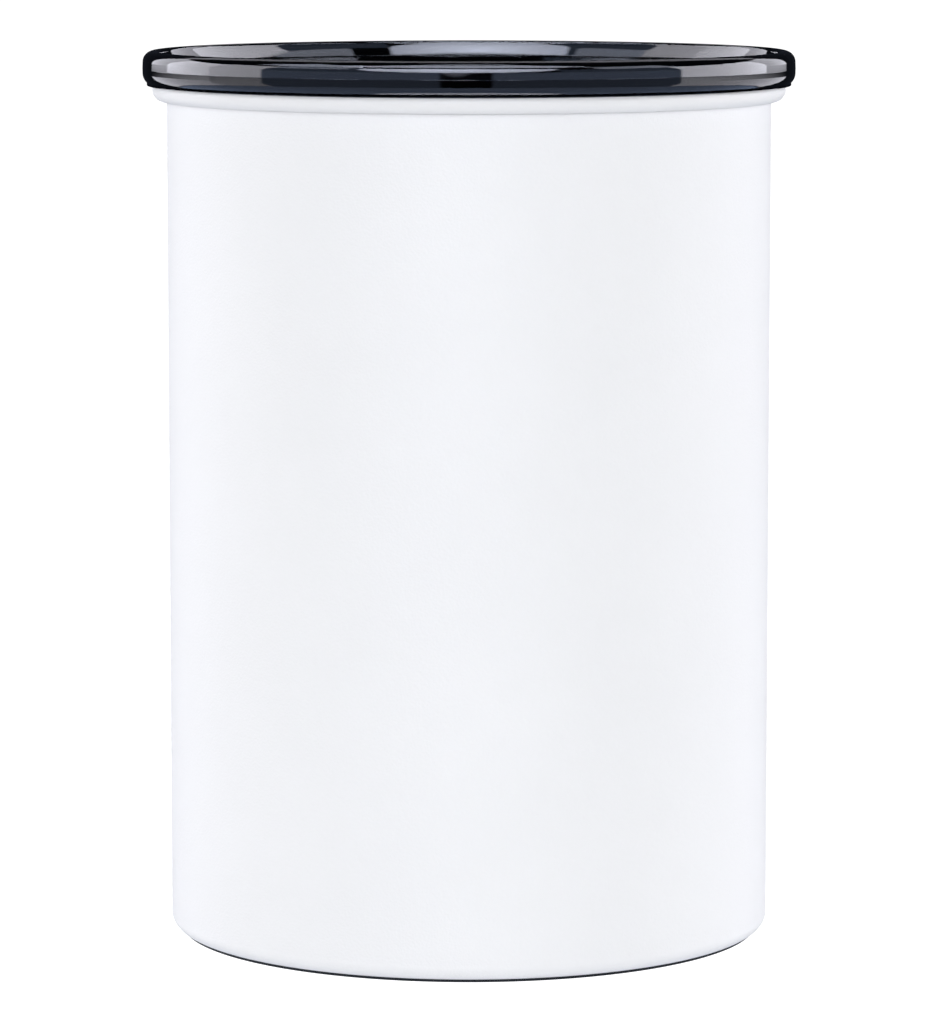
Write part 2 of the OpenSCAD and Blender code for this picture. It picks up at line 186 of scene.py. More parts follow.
def softbox(left, right, low, high, strength, hex_colour):
    """The glow of one softbox: 1 between its four limits, 0 outside, times its colour and strength."""
    glow = None
    for angle, limit, on, off in ((azimuth, left, 0.0, 1.0), (azimuth, right, 1.0, 0.0),
                                  (elevation, low, 0.0, 1.0), (elevation, high, 1.0, 0.0)):
        ramp = add(sky, "ShaderNodeMapRange", {
            "Value": angle.outputs[0], "From Min": math.radians(limit - EDGE),
            "From Max": math.radians(limit + EDGE), "To Min": on, "To Max": off},
            interpolation_type="SMOOTHSTEP")
        glow = ramp if glow is None else add(
            sky, "ShaderNodeMath", {0: glow.outputs[0], 1: ramp.outputs[0]}, operation="MULTIPLY")
    colour = [c * strength for c in linear(hex_colour)[:3]]
    return add(sky, "ShaderNodeVectorMath", {
        0: colour, "Scale": glow.outputs[0]}, operation="SCALE").outputs[0]


def oval_softbox(across, top, half_width, height, hex_colour):
    """The glow of the front light: the lower half of an oval with a flat top, times its colour."""
    offsets = []
    for angle, middle, half in ((azimuth, across, half_width), (elevation, top, height)):
        offset = add(sky, "ShaderNodeMath", {
            0: angle.outputs[0], 1: math.radians(middle)}, operation="SUBTRACT")
        offsets.append(add(sky, "ShaderNodeMath", {
            0: offset.outputs[0], 1: math.radians(half)}, operation="DIVIDE"))
    both = add(sky, "ShaderNodeCombineXYZ", {"X": offsets[0].outputs[0], "Y": offsets[1].outputs[0]})
    out = add(sky, "ShaderNodeVectorMath", {0: both.outputs[0]}, operation="LENGTH").outputs["Value"]
    inside = add(sky, "ShaderNodeMapRange", {
        "Value": out, "From Min": 1 + FRONT_EDGE, "From Max": 1 - FRONT_EDGE})
    under = add(sky, "ShaderNodeMapRange", {
        "Value": elevation.outputs[0], "From Min": math.radians(top + FRONT_ABOVE + EDGE),
        "From Max": math.radians(top + FRONT_ABOVE - EDGE)})
    fading = add(sky, "ShaderNodeMapRange", {"Value": out, "To Min": FRONT_MIDDLE, "To Max": FRONT_RIM})
    glow = add(sky, "ShaderNodeMath", {0: inside.outputs[0], 1: fading.outputs[0]}, operation="MULTIPLY")
    glow = add(sky, "ShaderNodeMath", {0: glow.outputs[0], 1: under.outputs[0]}, operation="MULTIPLY")
    return add(sky, "ShaderNodeVectorMath", {
        0: linear(hex_colour)[:3], "Scale": glow.outputs[0]}, operation="SCALE").outputs[0]


def room(total, glows):
    """The light of a whole room: what is left in the dark, and then one softbox added after another."""
    for glow in glows:
        total = add(sky, "ShaderNodeVectorMath", {0: total, 1: glow}, operation="ADD").outputs[0]
    return total


mirrored = room(DARK_ROOM, [oval_softbox(*FRONT)] + [softbox(*limits) for limits in MIRRORED])
print("softboxes mirrored:", len(MIRRORED) + 1)

# %% [markdown]
# Matt surfaces blur the room, and the camera's exposure and white balance bring them to the photograph's
# shades, so they get a plainer set of lights. Its strengths come from the photograph: the wall is evenly
# bright, the bead hardly shades it, and the lid shades only a hair's breadth of the bead. That says light
# from low all round, strongest in front, and a bright table. A light straight above reaches the inside.

# %% The lights that matt surfaces get: left, right, low, high, strength
PAPER = "FFFFFD"
MATT = (
    (-80, 80, 0, 12, 2.9),          # in front, low
    (-80, 80, 12, 30, 0.95),        # in front
    (-80, 80, 30, 50, 0.4),         # in front, high
    (-80, -25, 0, 30, 0.16),        # in front, a little more at its ends
    (25, 80, 0, 30, 0.06),
    (-150, -80, 0, 12, 2.5),        # left
    (-150, -80, 12, 30, 0.75),
    (80, 150, 0, 12, 2.5),          # right
    (80, 150, 12, 30, 0.75),
    (-181, -150, 0, 30, 1.9),       # behind
    (150, 181, 0, 30, 1.9),
    (-181, 181, 50, 75, 0.7),       # overhead
    (-181, 181, 75, 95, 1.5),       # straight above
)
GROUND_WHITE = 1.1
DARK_SHADE = (0.02, 0.02, 0.02)
matt = room(DARK_SHADE, [softbox(*limits, PAPER) for limits in MATT])
paths = add(sky, "ShaderNodeLightPath")
by_mirror = add(sky, "ShaderNodeMath", {
    0: paths.outputs["Is Glossy Ray"], 1: paths.outputs["Is Transmission Ray"]}, operation="MAXIMUM")
lit = add(sky, "ShaderNodeMix", {
    "Factor": by_mirror.outputs[0], 4: matt, 5: mirrored}, data_type="VECTOR")
seen = add(sky, "ShaderNodeMix", {
    "Factor": paths.outputs["Is Camera Ray"], 4: lit.outputs[1], 5: (GROUND_WHITE,) * 3},
    data_type="VECTOR")
background = add(sky, "ShaderNodeBackground", {"Color": seen.outputs[1]})
add(sky, "ShaderNodeOutputWorld", {"Surface": background.outputs[0]})
print("lights for matt surfaces:", len(MATT), "and nodes in the world:", len(sky.nodes))

# %% [markdown]
# ## The floor
# A sheet of white acrylic that glows from below, as on a photographer's light table. The camera sees it
# burnt out to pure white, so that it runs into the white ground without a horizon. The light that it throws
# back at the can is weaker, as strong as the photograph shows under the bead. The lid mirrors the painted
# table of the world instead of this sheet.

# %% Light table
FLOOR_SIZE = 8.0
SHEET_GREY = 0.25
GLOW, GLOW_FOR_CAMERA = 0.43, 0.7         # the second is added for the camera alone
bpy.ops.object.select_all(action="DESELECT")
bpy.ops.mesh.primitive_plane_add(size=FLOOR_SIZE, location=(0, 0, cad_low.z))
floor = bpy.context.object
floor.name = "floor"
acrylic, tree = new_material("white_acrylic_sheet")
sheet_face = add(tree, "ShaderNodeBsdfDiffuse", {"Color": (SHEET_GREY,) * 3 + (1,)})
glow = add(tree, "ShaderNodeMath", {
    0: add(tree, "ShaderNodeLightPath").outputs["Is Camera Ray"], 1: GLOW_FOR_CAMERA, 2: GLOW},
    operation="MULTIPLY_ADD")
sheet_glow = add(tree, "ShaderNodeEmission", {"Color": (1, 1, 1, 1), "Strength": glow.outputs[0]})
sheet_both = add(tree, "ShaderNodeAddShader", {0: sheet_face.outputs[0], 1: sheet_glow.outputs[0]})
add(tree, "ShaderNodeOutputMaterial", {"Surface": sheet_both.outputs[0]})
floor.data.materials.append(acrylic)
floor.visible_glossy = False
bpy.context.scene.view_settings.view_transform = "Standard"
print("light table in metres:", round(floor.dimensions.x, 2), "by", round(floor.dimensions.y, 2))

# %% [markdown]
# ## Turned pieces
# Nearly every piece of the canister is round, so each is drawn as half of its cross-section and spun about
# the axis, as on a lathe. A cross-section is a list of corners, each with the radius that rounds it. A line
# of vertices is extruded from corner to corner and then spun. A ring's cross-section is a closed loop, whose
# list starts and ends halfway along a straight side, so that every corner can be rounded.

# %% Cross-section helpers
SPIN_STEPS = 256
MERGE_MM = 0.002


def arc(x, z, radius, start, end, steps=10):
    """Points on an arc, from one angle to another, in degrees."""
    angles = [math.radians(start + (end - start) * i / steps) for i in range(steps + 1)]
    return [(x + radius * math.cos(a), z + radius * math.sin(a)) for a in angles]


def rounded(corners, steps=6):
    """A line through corners (x, z, radius), each but the first and last rounded by its radius."""
    nearly_straight = math.radians(89.5)
    line = [corners[0][:2]]
    for before, corner, after in zip(corners, corners[1:], corners[2:]):
        here, radius = Vector(corner[:2]), corner[2]
        back = (Vector(before[:2]) - here).normalized()
        on = (Vector(after[:2]) - here).normalized()
        half = back.angle(on) / 2
        if radius == 0 or half > nearly_straight:
            line.append(tuple(here))
            continue
        centre = here + (back + on).normalized() * (radius / math.sin(half))
        first = here + back * (radius / math.tan(half)) - centre
        last = here + on * (radius / math.tan(half)) - centre
        start = math.degrees(math.atan2(first.y, first.x))
        sweep = math.degrees(math.atan2(last.y, last.x)) - start
        sweep = (sweep + 180) % 360 - 180
        line += arc(centre.x, centre.y, radius, start, start + sweep, steps)
    return line + [corners[-1][:2]]


def finish_mesh(piece, smooth_angle=35):
    """Merge doubles, turn the faces outwards and shade curved surfaces smooth."""
    bpy.ops.object.mode_set(mode="EDIT")
    bpy.ops.mesh.select_all(action="SELECT")
    bpy.ops.mesh.remove_doubles(threshold=MERGE_MM * MM)
    bpy.ops.mesh.normals_make_consistent(inside=False)
    bpy.ops.object.mode_set(mode="OBJECT")
    bpy.ops.object.shade_smooth_by_angle(angle=math.radians(smooth_angle))
    piece.modifiers.new("flats_stay_flat", "WEIGHTED_NORMAL").keep_sharp = True
    bpy.ops.object.modifier_apply(modifier="flats_stay_flat")
    shape = bmesh.new()
    shape.from_mesh(piece.data)
    open_edges = sum(not edge.is_manifold for edge in shape.edges)
    shape.free()
    print(piece.name, "faces:", len(piece.data.polygons), "open edges:", open_edges)
    return piece


def drawn(name, points):
    """Draw a line of vertices through points in metres, and stay in edit mode."""
    bpy.ops.object.select_all(action="DESELECT")
    bpy.ops.mesh.primitive_plane_add(size=MM, location=(0, 0, 0))
    piece = bpy.context.object
    piece.name = name
    bpy.ops.object.mode_set(mode="EDIT")
    bpy.ops.mesh.merge(type="CENTER")
    bpy.ops.transform.translate(value=points[0])
    for here, there in zip(points, points[1:]):
        bpy.ops.mesh.extrude_region_move(TRANSFORM_OT_translate={"value": there - here})
    return piece


def turned(name, outline, steps=SPIN_STEPS, smooth_angle=35):
    """Spin an outline of (radius, height) points about Z. One that starts and ends off the axis is closed."""
    points = [Vector((x * MM, 0, z * MM)) for x, z in outline]
    if points[0].x > 0 and points[-1].x > 0:
        points.append(points[0])
    piece = drawn(name, points)
    bpy.ops.mesh.select_all(action="SELECT")
    bpy.ops.mesh.spin(steps=steps, angle=math.tau, center=(0, 0, 0), axis=(0, 0, 1))
    bpy.ops.object.mode_set(mode="OBJECT")
    return finish_mesh(piece, smooth_angle)


# %% [markdown]
# ## The can
# It is one sheet of stainless steel, drawn into a cup: the base is pressed up inside a flat ring, the edge
# of the base is round, and the mouth is rolled outwards into a bead. The outside carries the white coat, the
# inside is bare. The cross-section follows the sheet out and back in. A thin near-black ring under the
# base is painted shade: it stands in for the contact shadow, the dark line under the can.

# %% Can
CAN_R = 60.3
SHEET = 0.7
CAN_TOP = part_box("canister_shell")[1].z / MM
BEAD_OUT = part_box("canister_shell")[1].x / MM
BASE_EDGE_R = 3.2
SHADOW_RING_H = 0.5
BASE_RISE = 1.6
FOOT_IN, SHADOW_RING_OUT = 49.3, 58.1
BEAD_R, SHOULDER_R, CURL_GAP = 2.2, 1.3, 0.3
bead_x = BEAD_OUT - BEAD_R
shoulder_x = CAN_R - SHEET + SHOULDER_R
shoulder_z = CAN_TOP - SHOULDER_R
bead_z = shoulder_z - math.sqrt((BEAD_R - SHOULDER_R) ** 2 - (shoulder_x - bead_x) ** 2)
join_angle = math.degrees(math.atan2(shoulder_z - bead_z, shoulder_x - bead_x))
curl_angle = -math.degrees(math.acos((CAN_R + CURL_GAP - bead_x) / BEAD_R))

can_outline = (
    rounded([(0, BASE_RISE, 0), (FOOT_IN - BASE_RISE, BASE_RISE, 1.0), (FOOT_IN, SHADOW_RING_H, 1.0),
             (CAN_R, SHADOW_RING_H, BASE_EDGE_R - SHADOW_RING_H), (CAN_R, shoulder_z, 0)], steps=10)
    + arc(shoulder_x, shoulder_z, SHOULDER_R - SHEET, 180, join_angle, 5)[1:]
    + arc(bead_x, bead_z, BEAD_R - SHEET, join_angle, curl_angle, 12)[1:]
    + arc(bead_x, bead_z, BEAD_R, curl_angle, join_angle, 28)
    + arc(shoulder_x, shoulder_z, SHOULDER_R, join_angle, 180, 10)[1:]
    + rounded([(CAN_R - SHEET, shoulder_z, 0), (CAN_R - SHEET, SHEET, BASE_EDGE_R - SHEET),
               (FOOT_IN + 0.3, SHEET, 1.5), (FOOT_IN - BASE_RISE + 0.3, BASE_RISE + SHEET, 1.5),
               (0, BASE_RISE + SHEET, 0)], steps=8)[1:])
can = turned("can", can_outline)
# The near-black ring under the base is painted shade, a stand-in for the contact shadow under the can.
painted_shadow_ring = turned("painted_shadow_ring", rounded([
    (FOOT_IN + 1, SHADOW_RING_H + 0.05, 0), (FOOT_IN + 1, 0, 0.2), (SHADOW_RING_OUT, 0, 0.15), (SHADOW_RING_OUT, SHADOW_RING_H + 0.05, 0)]))

# %% [markdown]
# ## The smoked lid
# A thick ring round a recess: the next canister stands in it. Outside, a skirt comes down over the rolled
# bead with a large round edge, and inside a plug reaches into the mouth. The underside of the skirt follows
# the bead a quarter of a millimetre away. A moulded part needs draft to leave its tool, so the skirt leans in
# by two degrees above and below the line where the two halves of the tool meet. That is why the mirrored
# light changes halfway up. The very bottom of the skirt is a narrow upright land, where the tool's stripper
# ring pushes the lid off. The recess's wall is slightly hollow and leans back to guide the next canister in,
# and a fine ridge runs round the place where its foot stands. Edges sharper than 20 degrees stay sharp, so
# that the fine ridge on the parting line doesn't bend what the skirt mirrors.

# %% Smoked lid
LID_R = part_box("outer_lid")[1].x / MM
LID_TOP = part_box("outer_lid")[1].z / MM
PLUG_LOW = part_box("outer_lid")[0].z / MM
LID_UNDER = CAN_TOP + 0.1
LID_FLOOR = LID_UNDER + 2.3
PARTING_Z = LID_FLOOR - 0.3
FLASH = 0.015                             # how far the ridge on the parting line stands out
DRAFT = math.tan(math.radians(2))
DRAFT_RUN = 0.025                         # what the draft below the parting line takes off the radius
TOP_EDGE_R, INNER_EDGE_R, FILLET_R = 2.2, 0.7, 0.3
RECESS_TOP_R = LID_R - 2.95
HOLLOW_H, WALL_LEAN, LEAN_PER_MM = 1.75, 18.7, 1.25
WALL_STEPS, STEPS_IN_EDGE, STEPS_IN_FILLET = 20, 5, 2
RIDGE_R, RIDGE_W, RIDGE_H = 57.7, 0.6, 0.12
SKIRT_LOW = CAN_TOP - 1.25
SKIRT_EDGE_R, SKIRT_GAP = 2.6, 0.25
LAND_H, LAND_ANGLE = 0.58, 47
LAND_EDGE, LAND_EDGE_MIDDLE = 0.12, 0.035
PLUG_R, PLUG_WALL = 59.2, 1.6
GATE_R, GATE_H = 2.2, 0.4
wall_step = (LID_TOP - LID_FLOOR) / WALL_STEPS
recess_wall = [(RECESS_TOP_R, LID_TOP, 0)]
# Upright at the top, WALL_LEAN degrees back at HOLLOW_H below it, and then LEAN_PER_MM more each millimetre.
# Of its steps, the first and the last few lie in the round edge and in the fillet, and are left out below.
for i in range(WALL_STEPS):
    depth = (i + 0.5) * wall_step
    lean = WALL_LEAN * min(depth / HOLLOW_H, 1) + LEAN_PER_MM * max(depth - HOLLOW_H, 0)
    run = wall_step * math.tan(math.radians(lean))
    recess_wall.append((recess_wall[-1][0] - run, LID_TOP - (i + 1) * wall_step, 0))
hug_r = BEAD_R + SKIRT_GAP
hug_top = math.degrees(math.asin((LID_UNDER - bead_z) / hug_r))
edge_x = LID_R - FLASH - SKIRT_EDGE_R - DRAFT_RUN
edge_z = SKIRT_LOW + LAND_H + SKIRT_EDGE_R * math.sin(math.radians(LAND_ANGLE))
land_x = edge_x + SKIRT_EDGE_R * math.cos(math.radians(LAND_ANGLE))
hug_low = math.degrees(math.asin((SKIRT_LOW - bead_z) / hug_r))

lid_outline = (
    rounded([(0, LID_UNDER - GATE_H, 0), (GATE_R, LID_UNDER - GATE_H, 0.15), (GATE_R, LID_UNDER, 0.2),
             (PLUG_R - PLUG_WALL, LID_UNDER, 0.8), (PLUG_R - PLUG_WALL + 0.3, PLUG_LOW, 0.4),
             (PLUG_R, PLUG_LOW, 0.6), (PLUG_R, LID_UNDER, 0.3),
             (bead_x + hug_r * math.cos(math.radians(hug_top)), LID_UNDER, 0)])[:-1]
    + arc(bead_x, bead_z, hug_r, hug_top, hug_low, 10)
    + [(land_x - LAND_EDGE, SKIRT_LOW), (land_x - LAND_EDGE_MIDDLE, SKIRT_LOW + LAND_EDGE_MIDDLE),
       (land_x, SKIRT_LOW + LAND_EDGE)]
    + arc(edge_x, edge_z, SKIRT_EDGE_R, -LAND_ANGLE, -2, 20)
    + [(LID_R - FLASH, PARTING_Z - 2 * FLASH), (LID_R, PARTING_Z)]
    + rounded([(LID_R - FLASH, PARTING_Z + 2 * FLASH, 0),
               (LID_R - FLASH - DRAFT * (LID_TOP - PARTING_Z), LID_TOP, TOP_EDGE_R),
               (RECESS_TOP_R, LID_TOP, INNER_EDGE_R), *recess_wall[STEPS_IN_EDGE:-STEPS_IN_FILLET],
               (recess_wall[-1][0], LID_FLOOR, FILLET_R),
               (RIDGE_R + RIDGE_W, LID_FLOOR, 0.5), (RIDGE_R, LID_FLOOR + RIDGE_H, 0.8),
               (RIDGE_R - RIDGE_W, LID_FLOOR, 0.5), (0, LID_FLOOR, 0)], steps=18))
lid = turned("smoked_lid", lid_outline, smooth_angle=20)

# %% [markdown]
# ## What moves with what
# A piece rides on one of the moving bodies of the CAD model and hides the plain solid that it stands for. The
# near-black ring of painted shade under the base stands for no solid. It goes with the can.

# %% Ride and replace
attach(can, "canister")
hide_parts("canister_shell")
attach(painted_shadow_ring, "canister")
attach(lid, "outer_lid")
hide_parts("outer_lid")
print("riding:", can.name, painted_shadow_ring.name, lid.name)

# %% [markdown]
# ## Fusing and cutting
# The inner lid is moulded with a hub, ribs, screw bosses and holes on a round dish. The round parts are spun.
# The others are fused to them or cut out of them with Boolean modifiers, as clay is added to a thrown pot.
# What repeats round the axis is made once, and each copy gets its own mesh.

# %% Fusing and cutting helpers
def only(piece):
    """Select one piece and nothing else."""
    bpy.ops.object.select_all(action="DESELECT")
    piece.select_set(True)
    bpy.context.view_layer.objects.active = piece


def combine(piece, tool, operation):
    """Fuse a tool to the piece (UNION) or cut it out (DIFFERENCE). The tool is used up."""
    joint = piece.modifiers.new("combine", "BOOLEAN")
    joint.operation, joint.object, joint.solver = operation, tool, "EXACT"
    only(piece)
    bpy.ops.object.modifier_apply(modifier="combine")
    bpy.data.objects.remove(tool)


def placed(piece, x=0.0, y=0.0, z=0.0, turn=0.0, axis="Z"):
    """Move a piece's mesh by millimetres, then turn it about an axis. Its object stays at the origin."""
    only(piece)
    bpy.ops.object.mode_set(mode="EDIT")
    bpy.ops.mesh.select_all(action="SELECT")
    bpy.ops.transform.translate(value=(x * MM, y * MM, z * MM))
    bpy.ops.transform.rotate(value=-math.radians(turn), orient_axis=axis, center_override=(0, 0, 0))
    bpy.ops.object.mode_set(mode="OBJECT")
    return piece


def bar(name, low, high, edge_r=0.0):
    """A bar between two corners in mm, with all its edges rounded."""
    bpy.ops.object.select_all(action="DESELECT")
    bpy.ops.mesh.primitive_cube_add(size=1, location=(0, 0, 0))
    piece = bpy.context.object
    piece.name = name
    bpy.ops.object.mode_set(mode="EDIT")
    bpy.ops.mesh.select_all(action="SELECT")
    bpy.ops.transform.resize(value=[(b - a) * MM for a, b in zip(low, high)])
    if edge_r:
        bpy.ops.mesh.bevel(offset=edge_r * MM, segments=3, affect="EDGES")
    bpy.ops.object.mode_set(mode="OBJECT")
    return placed(piece, *[(a + b) / 2 for a, b in zip(low, high)])


def ring_of(piece, count, first=0.0):
    """Copy a piece round the axis, each copy with its own mesh, and join them all."""
    pieces = [piece]
    for _ in range(1, count):
        twin = piece.copy()
        twin.data = piece.data.copy()
        bpy.context.scene.collection.objects.link(twin)
        pieces.append(twin)
    for i, twin in enumerate(pieces):
        placed(twin, turn=first + i * 360 / count)
    only(piece)
    for twin in pieces:
        twin.select_set(True)
    bpy.ops.object.join()
    return piece


def peg(name, radius, low, high, edge_r, foot=0.1, steps=32):
    """A round peg on the axis, a little wider at its foot, its upper edge rounded."""
    return turned(name, rounded([(0, low, 0), (radius + foot, low, 0), (radius, high, edge_r),
                                 (0, high, 0)]), steps)


def rod_x(name, radius, x_end, z, edge_r=0.0, steps=48):
    """A round bar along X, from -x_end to x_end, both ends rounded."""
    piece = turned(name, rounded([(0, -x_end, 0), (radius, -x_end, edge_r), (radius, x_end, edge_r),
                                  (0, x_end, 0)]), steps)
    return placed(placed(piece, turn=90, axis="Y"), z=z)


# %% [markdown]
# ## The dish of the inner lid
# It slides down inside the can onto the coffee. All the pieces of the inner lid are measured up from its own
# underside, and `LIFT` is how high it is stored. The dish is one moulding: floor, rim, the flange over the
# wiper, the seat of the valve, the hub that carries it, ribs, two posts that the folded handle rests on, and
# six bosses for screws. Each added form starts `INTO` deep in what carries it, so that no two faces coincide.

# %% Dish
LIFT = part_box("gasket_retainer")[0].z / MM
INTO = 0.5
FLANGE_R, CHANNEL_R, RIM_IN_R = 57.8, 55.8, 54.0
PLATE_LOW, PLATE_TOP, CHANNEL_TOP, RIM_TOP = 1.8, 4.2, 14.2, 16.0
PORT_R, SEAT_R, SEAT_Z = 6.0, 7.2, 5.2
HUB_IN_R, HUB_R, HUB_TOP = 12.4, 15.0, 19.1
AXIS_Z, SHAFT_R, HUB_PLAY = 14.5, 2.0, 0.06
RIB_TOP, RIB_T, RIB_COUNT = 6.8, 1.4, 12
BOSS_R, BOSS_TOP, SCREW_HOLE_R, SCREW_HOLE_TOP = 2.8, 9.68, 1.25, 8.48
SCREW_RING_R, SCREW_COUNT, FIRST_SCREW = 49.9, 6, 30
REST_X, REST_Y, REST_R, REST_TOP = 10.0, -40.5, 1.6, 11.9

dish = turned("inner_lid_dish", rounded([
    (PORT_R, 3.5, 0), (PORT_R, SEAT_Z, 0.2), (SEAT_R, SEAT_Z, 0.3), (SEAT_R, PLATE_TOP, 0.4),
    (RIM_IN_R, PLATE_TOP, 1.0), (RIM_IN_R, RIM_TOP, 0.5), (FLANGE_R, RIM_TOP, 0.5),
    (FLANGE_R, CHANNEL_TOP, 0.2), (CHANNEL_R, CHANNEL_TOP, 0.3), (CHANNEL_R, PLATE_LOW, 0.2),
    (PORT_R, PLATE_LOW, 0.4), (PORT_R, 3.5, 0)])[:-1])
hub = turned("hub", rounded([
    (HUB_IN_R, 10, 0), (HUB_IN_R, HUB_TOP, 0.3), (HUB_R, HUB_TOP, 0.3), (HUB_R, PLATE_TOP - INTO, 0),
    (HUB_IN_R, PLATE_TOP - INTO, 0), (HUB_IN_R, 10, 0)])[:-1], 96)
combine(dish, hub, "UNION")
rib = bar("rib", (HUB_R - INTO, -RIB_T / 2, PLATE_TOP - INTO), (RIM_IN_R + INTO, RIB_T / 2, RIB_TOP), 0.35)
combine(dish, ring_of(rib, RIB_COUNT), "UNION")
boss = placed(peg("boss", BOSS_R, PLATE_TOP - INTO, BOSS_TOP, 0.6), x=SCREW_RING_R)
combine(dish, ring_of(boss, SCREW_COUNT, FIRST_SCREW), "UNION")
for side in (-1, 1):
    post = peg("rest_post", REST_R, PLATE_TOP - INTO, REST_TOP, 0.5)
    combine(dish, placed(post, x=side * REST_X, y=REST_Y), "UNION")
combine(dish, rod_x("shaft_hole", SHAFT_R + HUB_PLAY, HUB_R + 1, AXIS_Z), "DIFFERENCE")
screw_hole = placed(peg("screw_hole", SCREW_HOLE_R, PLATE_LOW - 1, SCREW_HOLE_TOP, 0, foot=0), x=SCREW_RING_R)
combine(dish, ring_of(screw_hole, SCREW_COUNT, FIRST_SCREW), "DIFFERENCE")
finish_mesh(placed(dish, z=LIFT))

# %% [markdown]
# ## Wiper, ring and screws
# The wiper is a sleeve of silicone with three lips that point up and touch the can all round. It is pushed on
# from below, and a flat ring with six countersunk screws holds it. Their thread is drawn as plain rings: half
# a millimetre apart, nobody can tell them from a thread.

# %% Wiper, ring and screws
SLEEVE_IN, SLEEVE_OUT, SLEEVE_LOW, SLEEVE_TOP = 55.85, 57.0, 1.85, 14.15
LIP_PITCH, LIP_ROOT, LIP_TIP_R = 4.45, 1.44, 0.45
LIP_TIP_X, LIP_TIP_Z = 58.95, 2.5
RING_IN, HEAD_R, HEAD_H, SHANK_R, SCREW_TOP = 45.8, 2.16, 1.08, 1.2, 8.08
HEAD_PLAY = 0.05
CROSS_LONG, CROSS_WIDE, CROSS_DEEP = 1.296, 0.3, 0.54
THREAD_STEP, THREAD_DEPTH, THREAD_POINTS = 0.6, 0.2, 10

corners = [(SLEEVE_IN, 8, 0), (SLEEVE_IN, SLEEVE_TOP, 0.3), (SLEEVE_OUT, SLEEVE_TOP, 0.3)]
for i in (2, 1, 0):
    root = SLEEVE_LOW + LIP_PITCH * i
    tip = arc(LIP_TIP_X, root + LIP_TIP_Z, LIP_TIP_R, 150, -30)
    corners += [(SLEEVE_OUT, root + LIP_ROOT, 0.3), *[(x, z, 0) for x, z in tip], (SLEEVE_OUT, root, 0.2)]
wiper = turned("wiper", rounded(corners + [(SLEEVE_IN, SLEEVE_LOW, 0.3), (SLEEVE_IN, 8, 0)])[:-1])
placed(wiper, z=LIFT)

ring = turned("retaining_ring", rounded([
    (RING_IN, 1, 0), (RING_IN, PLATE_LOW, 0.2), (FLANGE_R, PLATE_LOW, 0.2), (FLANGE_R, 0, 0.5),
    (RING_IN, 0, 0.5), (RING_IN, 1, 0)])[:-1])
sink_r = HEAD_R + HEAD_PLAY
sink = turned("sink", [(0, -1), (sink_r, -1), (sink_r, HEAD_H), (SCREW_HOLE_R, HEAD_H), (SCREW_HOLE_R, 3),
                       (0, 3)], 32)
combine(ring, ring_of(placed(sink, x=SCREW_RING_R), SCREW_COUNT, FIRST_SCREW), "DIFFERENCE")
finish_mesh(placed(ring, z=LIFT))

thread = [(HEAD_H + 1 + THREAD_STEP * i, SHANK_R - THREAD_DEPTH * (i % 2)) for i in range(THREAD_POINTS)]
screw = turned("ring_screws", rounded(
    [(0, 0, 0), (HEAD_R, 0, 0.25), (HEAD_R, HEAD_H, 0.1), (SHANK_R, HEAD_H, 0.1)]
    + [(r, z, 0) for z, r in thread]
    + [(SHANK_R - 0.1, SCREW_TOP - 0.6, 0), (0.5, SCREW_TOP, 0.1), (0, SCREW_TOP, 0)]), 32)
for long, wide in ((CROSS_LONG, CROSS_WIDE), (CROSS_WIDE, CROSS_LONG)):
    combine(screw, bar("cross", (-long, -wide, -1), (long, wide, CROSS_DEEP)), "DIFFERENCE")
screws = finish_mesh(placed(ring_of(placed(screw, x=SCREW_RING_R), SCREW_COUNT, FIRST_SCREW), z=LIFT))

# %% [markdown]
# ## The valve
# A plunger hangs in the hub: four vanes guide it in the port, its head carries a silicone washer, and its
# cross bar is lifted by two cams when the handle is folded up. A spring shuts it again. The cap that closes
# the hub has twelve slots for the air and a turret for the spring, and the tip of the plunger shows in it.

# %% Plunger, washer and cap
VANE_R, VANE_T, VANE_TOP = 5.7, 1.4, 5.2
HEAD_LOW, HEAD_TOP, PLUNGER_HEAD_R, NECK_R = 6.8, 8.4, 8.6, 2.4
STEM_R, STEM_TOP = 4.6, 17.75
WINDOW_X, WINDOW_Y, WINDOW_LOW, WINDOW_TOP = 9, 2.4, 8.6, 16.9
CROSS_BAR_X, CROSS_BAR_TOP, PIN_R, PIN_TOP = 8.1, 19.35, 2.0, 28.05
WASHER_IN, WASHER_LOW = 2.45, 5.25
CAP_R, CAP_LOW, CAP_IN_R, CAP_STEP, CAP_UNDER, CAP_TOP = 16.65, 17.8, 15.05, 19.15, 22.25, 23.85
TURRET_R, TURRET_IN, TURRET_UNDER, TURRET_TOP, PIN_HOLE_R = 5.25, 3.65, 26.45, 28.05, 2.3
VENT_IN, VENT_OUT, VENT_W, VENT_COUNT = 6.25, 12.0, 1.6, 12

plunger = turned("valve_plunger", rounded([
    (0, PLATE_LOW, 0), (NECK_R, PLATE_LOW, 0.3), (NECK_R, HEAD_LOW, 0), (PLUNGER_HEAD_R, HEAD_LOW, 0.2),
    (PLUNGER_HEAD_R, HEAD_TOP, 0.4), (STEM_R, HEAD_TOP, 0.05), (STEM_R, STEM_TOP + 0.4, 0),
    (PIN_R, STEM_TOP + 0.4, 0), (PIN_R, PIN_TOP, 0.6), (0, PIN_TOP, 0)]), 64)
for long, wide in ((VANE_R, VANE_T / 2), (VANE_T / 2, VANE_R)):
    combine(plunger, bar("vane", (-long, -wide, PLATE_LOW + 0.05), (long, wide, VANE_TOP), 0.2), "UNION")
window = bar("window", (-WINDOW_X, -WINDOW_Y, WINDOW_LOW), (WINDOW_X, WINDOW_Y, WINDOW_TOP))
combine(plunger, window, "DIFFERENCE")
cross_bar = bar("cross_bar", (-CROSS_BAR_X, -STEM_R, STEM_TOP), (CROSS_BAR_X, STEM_R, CROSS_BAR_TOP), 0.3)
combine(plunger, cross_bar, "UNION")
finish_mesh(placed(plunger, z=LIFT))

